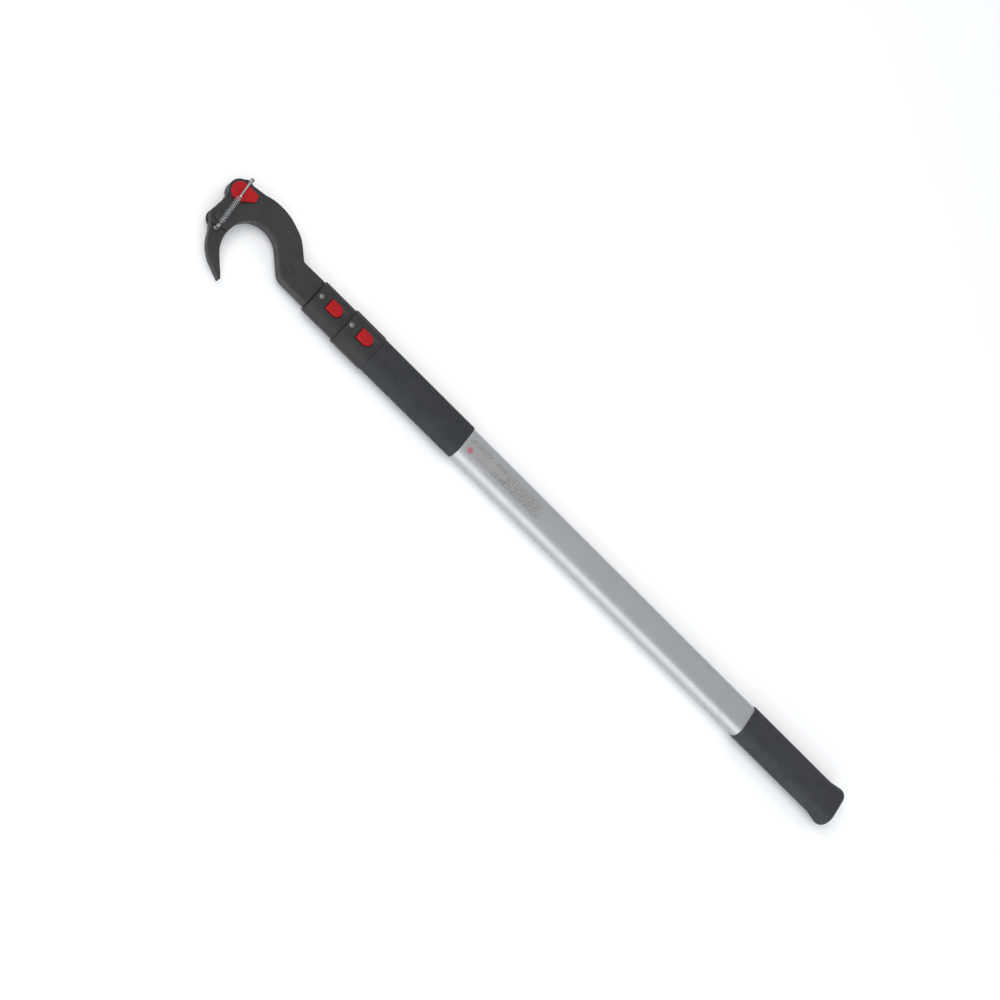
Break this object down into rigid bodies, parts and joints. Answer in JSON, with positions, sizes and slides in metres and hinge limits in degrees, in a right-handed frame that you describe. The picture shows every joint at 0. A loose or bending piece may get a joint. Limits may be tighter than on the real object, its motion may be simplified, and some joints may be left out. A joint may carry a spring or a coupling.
{
  "type": "fire hydrant wrench",
  "caption": "Telescoping flat-oval lever with a spring-loaded claw hook at its head, red latch buttons, a red release lever and a rubber rear grip.",
  "frame": {"origin": "under the middle of the wrench's box, on the plane that its lowest face touches", "axes": "+X along the lever towards the hooked head, +Y to the side on which the hook's mouth opens, +Z out of the front face that carries the red buttons"},
  "size_m": [0.8985, 0.1032, 0.0292],
  "materials": {
    "anodised_aluminium": "satin clear-anodised, drawn along its length",
    "black_rubber": "matt, fine moulded grain",
    "black_polymer": "moulded, fine texture",
    "black_coated_steel": "satin black coating, worn at edges",
    "red_plastic": "semi-gloss moulded",
    "bright_steel": "bright plated",
    "spring_steel": "bright spring wire",
    "white_nylon": "natural nylon",
    "grey_label": "printed film"
  },
  "bodies": {
    "outer": {"outer_tube": "anodised_aluminium", "fore_sleeve": "black_rubber", "outer_collar": "black_polymer", "rear_grip": "black_rubber", "tube_end_plug": "white_nylon", "tube_label": "grey_label", "outer_latch_leaf": "spring_steel", "outer_latch_rivet": "bright_steel"},
    "outer_latch": {"outer_latch_button": "red_plastic"},
    "middle": {"middle_tube": "anodised_aluminium", "middle_collar": "black_polymer", "middle_tube_bushing": "white_nylon", "middle_snap_clip": "spring_steel", "middle_latch_leaf": "spring_steel", "middle_latch_rivet": "bright_steel"},
    "middle_latch": {"middle_latch_button": "red_plastic"},
    "head": {"inner_tube": "anodised_aluminium", "inner_tube_bushing": "white_nylon", "inner_snap_clip": "spring_steel", "hook_core": "black_coated_steel", "front_cheek": "black_coated_steel", "back_cheek": "black_coated_steel", "cheek_rivet_1": "black_coated_steel", "cheek_rivet_2": "black_coated_steel", "cheek_rivet_3": "black_coated_steel", "tang_pin_1": "bright_steel", "tang_pin_2": "bright_steel", "claw_pivot_pin": "black_coated_steel", "spring_post": "bright_steel", "claw_spring": "spring_steel"},
    "claw": {"claw": "black_coated_steel", "claw_bushing": "bright_steel", "spring_anchor_screw": "bright_steel"},
    "lever": {"release_lever": "red_plastic", "lever_spindle": "bright_steel", "lock_cam": "bright_steel", "lever_retaining_ring": "bright_steel"}
  },
  "joints": [
    {"name": "middle_slide", "type": "slide", "parent": "outer", "child": "middle", "axis": [1, 0, 0], "range_m": [0, 0.325]},
    {"name": "inner_slide", "type": "slide", "parent": "middle", "child": "head", "axis": [1, 0, 0], "range_m": [0, 0.284]},
    {"name": "claw_pivot", "type": "hinge", "parent": "head", "child": "claw", "pos_m": [0.43525, 0.0044, 0.0139], "axis": [0, 0, 1], "range_deg": [-16, 0], "stiffness_Nm_per_rad": 0.3, "springref_deg": 20.05, "deforming": ["claw_spring"]},
    {"name": "lever_pivot", "type": "hinge", "parent": "head", "child": "lever", "pos_m": [0.43645, -0.0318, 0.0139], "axis": [0, 0, 1], "range_deg": [-50, 0]},
    {"name": "outer_latch_press", "type": "slide", "parent": "outer", "child": "outer_latch", "axis": [0, 0, -1], "range_m": [0, 0.0012], "stiffness_N_per_m": 900, "springref_m": -0.002, "deforming": ["outer_latch_leaf"]},
    {"name": "middle_latch_press", "type": "slide", "parent": "middle", "child": "middle_latch", "axis": [0, 0, -1], "range_m": [0, 0.0012], "stiffness_N_per_m": 900, "springref_m": -0.002, "deforming": ["middle_latch_leaf"]}
  ]
}
